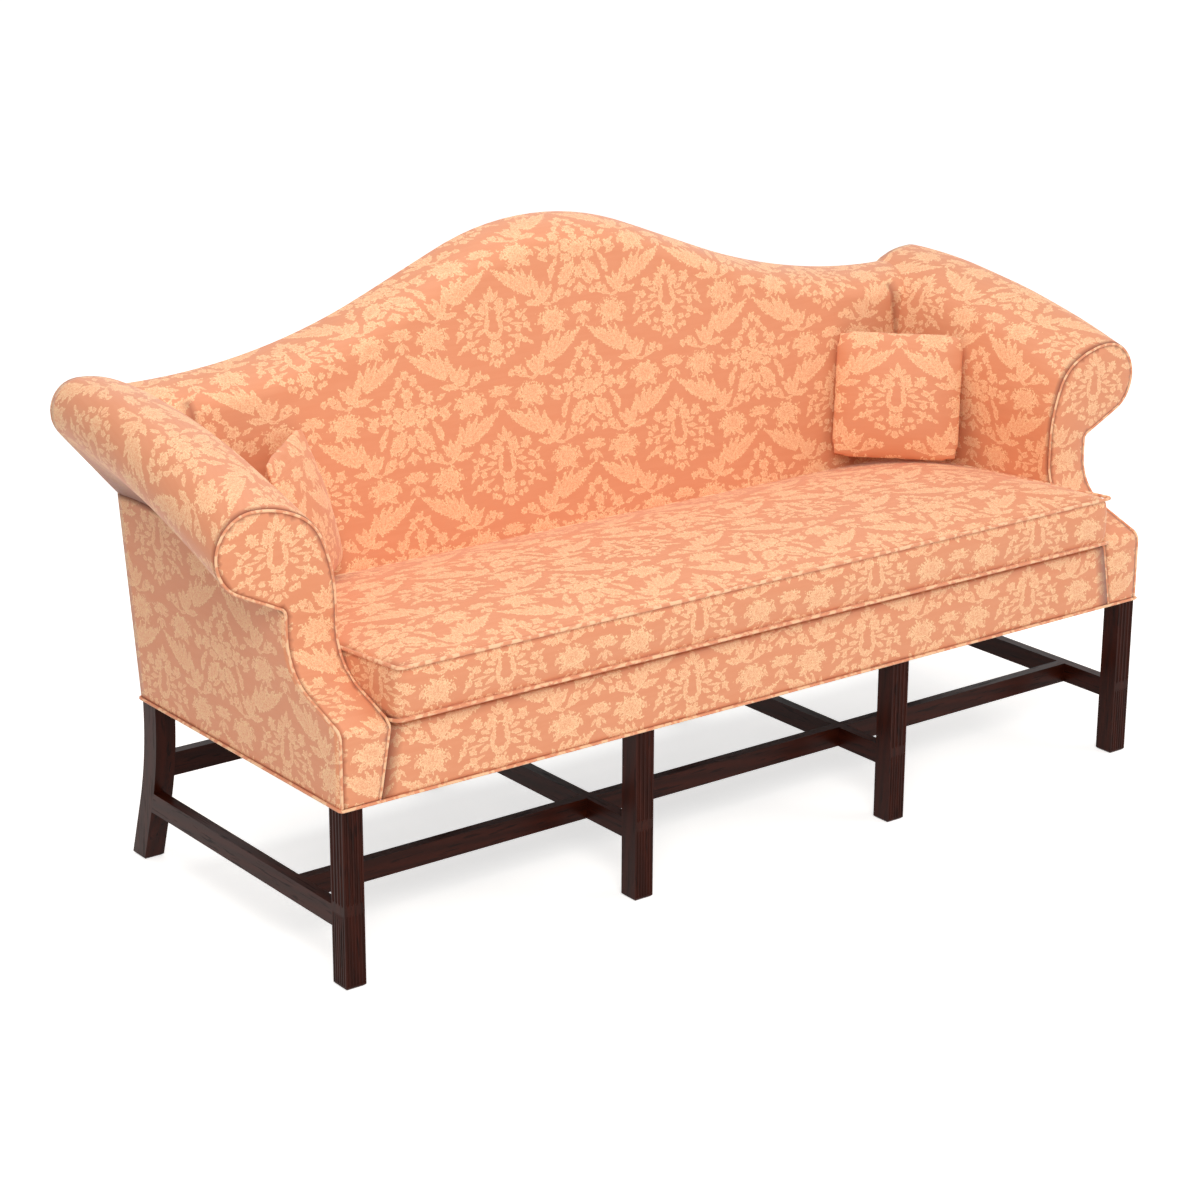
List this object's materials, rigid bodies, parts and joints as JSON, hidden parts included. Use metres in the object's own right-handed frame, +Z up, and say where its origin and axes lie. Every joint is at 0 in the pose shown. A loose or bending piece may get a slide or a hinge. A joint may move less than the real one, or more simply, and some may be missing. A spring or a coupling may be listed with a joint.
{
  "type": "camelback sofa",
  "caption": "Camelback sofa with rolled arms, loose seat cushion, two throw pillows and square fluted legs joined by stretchers.",
  "frame": {"origin": "middle of the footprint, on the floor", "axes": "+X along the sofa to the sitter's left, +Y towards the back, +Z up"},
  "size_m": [1.9124, 0.72, 0.979],
  "materials": {
    "mahogany": "dark red-brown, hand rubbed",
    "frame_wood": "plain sawn hardwood",
    "damask": "coral damask with a pale gold woven floral pattern",
    "welt_cloth": "coral damask cut on the bias over cord",
    "padding": "cotton felt and foam",
    "lining": "burlap and plain cloth",
    "spring_steel": "plain wire"
  },
  "bodies": {
    "sofa": {"arm_facing_left": "damask", "arm_facing_right": "damask", "arm_padding_left": "padding", "arm_padding_right": "padding", "arm_post_left": "frame_wood", "arm_post_right": "frame_wood", "arm_rail_left": "frame_wood", "arm_rail_right": "frame_wood", "arm_slats": "frame_wood", "back_padding": "padding", "back_uprights": "frame_wood", "back_webbing": "lining", "base_welt": "welt_cloth", "corner_blocks": "frame_wood", "crest_rail": "frame_wood", "cross_stretcher_left": "mahogany", "cross_stretcher_right": "mahogany", "dust_cover": "lining", "edge_roll": "padding", "facing_welt_left": "welt_cloth", "facing_welt_right": "welt_cloth", "front_leg_left": "mahogany", "front_leg_right": "mahogany", "front_middle_leg_left": "mahogany", "front_middle_leg_right": "mahogany", "front_rail_cover": "damask", "front_seat_rail": "frame_wood", "inside_arm_cover_left": "damask", "inside_arm_cover_right": "damask", "inside_back_cover": "damask", "lower_back_rail": "frame_wood", "medial_stretchers": "mahogany", "outside_arm_cover_left": "damask", "outside_arm_cover_right": "damask", "outside_back_cover": "damask", "rear_leg_left": "mahogany", "rear_leg_right": "mahogany", "rear_middle_leg_left": "mahogany", "rear_middle_leg_right": "mahogany", "rear_seat_rail": "frame_wood", "rear_stretchers": "mahogany", "seat_braces": "frame_wood", "seat_burlap": "lining", "seat_decking": "lining", "seat_pad": "padding", "seat_springs": "spring_steel", "side_seat_rail_left": "frame_wood", "side_seat_rail_right": "frame_wood", "side_stretcher_left": "mahogany", "side_stretcher_right": "mahogany", "spring_clips": "spring_steel"},
    "seat_cushion": {"cushion_core": "padding", "cushion_cover": "damask", "cushion_welts": "welt_cloth"},
    "pillow_left": {"pillow_cover_left": "damask", "pillow_filling_left": "padding"},
    "pillow_right": {"pillow_cover_right": "damask", "pillow_filling_right": "padding"}
  },
  "joints": [
    {"name": "cushion_lift", "type": "slide", "parent": "sofa", "child": "seat_cushion", "axis": [0, 0, 1], "range_m": [0, 0.3]},
    {"name": "pillow_left_lift", "type": "slide", "parent": "seat_cushion", "child": "pillow_left", "axis": [0, 0, 1], "range_m": [0, 0.3]},
    {"name": "pillow_right_lift", "type": "slide", "parent": "seat_cushion", "child": "pillow_right", "axis": [0, 0, 1], "range_m": [0, 0.3]}
  ]
}
